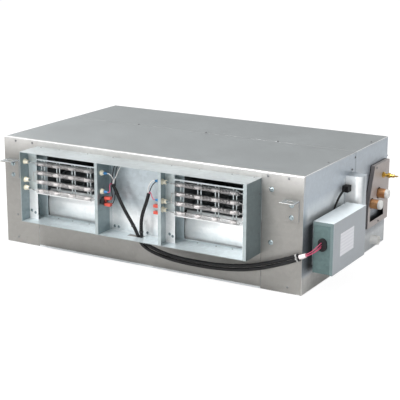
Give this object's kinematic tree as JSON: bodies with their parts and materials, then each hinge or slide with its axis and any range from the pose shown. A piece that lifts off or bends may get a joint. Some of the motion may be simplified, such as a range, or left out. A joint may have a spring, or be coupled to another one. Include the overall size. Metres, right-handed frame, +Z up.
{
  "type": "fan coil unit",
  "caption": "Low-profile ducted fan coil unit: galvanised casing, twin blowers, slanted finned coil, open-coil electric heaters in the discharge collar, side control box.",
  "frame": {"origin": "centre of the casing's flat underside", "axes": "+X along the width towards the pipe and control-box end, -Y towards the discharge collar, +Z up"},
  "size_m": [1.0748, 0.725, 0.33],
  "materials": {
    "galvanised": "galvanised sheet with a soft spangle",
    "steel": "bright drawn steel",
    "aluminium": "bare fin stock",
    "motor_case": "dark coated casting",
    "copper": "drawn copper, slightly dulled",
    "brass": "turned brass",
    "ceramic": "unglazed cream ceramic",
    "blue_plastic": "blue crimp sleeve",
    "red_plastic": "red moulding",
    "black_plastic": "black moulding",
    "white_plastic": "white moulding",
    "foam": "closed-cell foam",
    "black_rubber": "black rubber and sleeving",
    "lead_insulation": "pink lead insulation"
  },
  "bodies": {
    "root": {"bottom_panel": "galvanised", "left_end_panel": "galvanised", "right_end_panel": "galvanised", "left_coil_panel": "galvanised", "right_coil_panel": "galvanised", "front_panel": "galvanised", "return_frame": "galvanised", "front_top_panel": "galvanised", "rear_top_panel": "galvanised", "discharge_collar": "galvanised", "left_partition": "galvanised", "right_partition": "galvanised", "bay_back_plate": "galvanised", "left_heater_frame": "galvanised", "right_heater_frame": "galvanised", "left_scroll": "galvanised", "right_scroll": "galvanised", "motor_cradle": "galvanised", "coil_end_plates": "galvanised", "drain_pan": "galvanised", "pipe_plate": "galvanised", "control_box": "galvanised", "control_lid": "galvanised", "box_brackets": "galvanised", "capacitor_cover": "galvanised", "hanger_brackets": "galvanised", "left_heater_coil": "steel", "right_heater_coil": "steel", "heater_leads": "steel", "bracket_bolts": "steel", "coil_fins": "aluminium", "motor": "motor_case", "coil_tubes": "copper", "coil_bends": "copper", "supply_header": "copper", "return_header": "copper", "vent_body": "brass", "insulators": "ceramic", "terminal_bushings": "ceramic", "spade_terminals": "blue_plastic", "thermostat_boots": "red_plastic", "thermostats": "black_plastic", "heater_contactor": "black_plastic", "pipe_plugs": "white_plastic", "drain_spigot": "white_plastic", "terminal_block": "white_plastic", "capacitor": "white_plastic", "cable_connector": "white_plastic", "plate_seal": "foam", "cable_grommet": "black_rubber", "left_heater_cable": "black_rubber", "right_heater_cable": "black_rubber", "capacitor_lead": "black_rubber", "cable_leads": "lead_insulation"},
    "rotor": {"motor_shaft": "steel", "left_wheel": "galvanised", "right_wheel": "galvanised"},
    "vent_key": {"vent_key": "brass"},
    "left_reset": {"left_reset_button": "red_plastic"},
    "right_reset": {"right_reset_button": "red_plastic"}
  },
  "joints": [
    {"name": "fan_spin", "type": "hinge", "parent": "root", "child": "rotor", "pos_m": [0, -0.1938, 0.143], "axis": [1, 0, 0], "continuous": true},
    {"name": "vent_turn", "type": "hinge", "parent": "root", "child": "vent_key", "pos_m": [0.545, 0.232, 0.22559], "axis": [1, 0, 0], "range_deg": [0, 270]},
    {"name": "left_reset_press", "type": "slide", "parent": "root", "child": "left_reset", "axis": [-1, 0, 0], "range_m": [0, 0.0012], "stiffness_N_per_m": 400},
    {"name": "right_reset_press", "type": "slide", "parent": "root", "child": "right_reset", "axis": [1, 0, 0], "range_m": [0, 0.0012], "stiffness_N_per_m": 400}
  ]
}
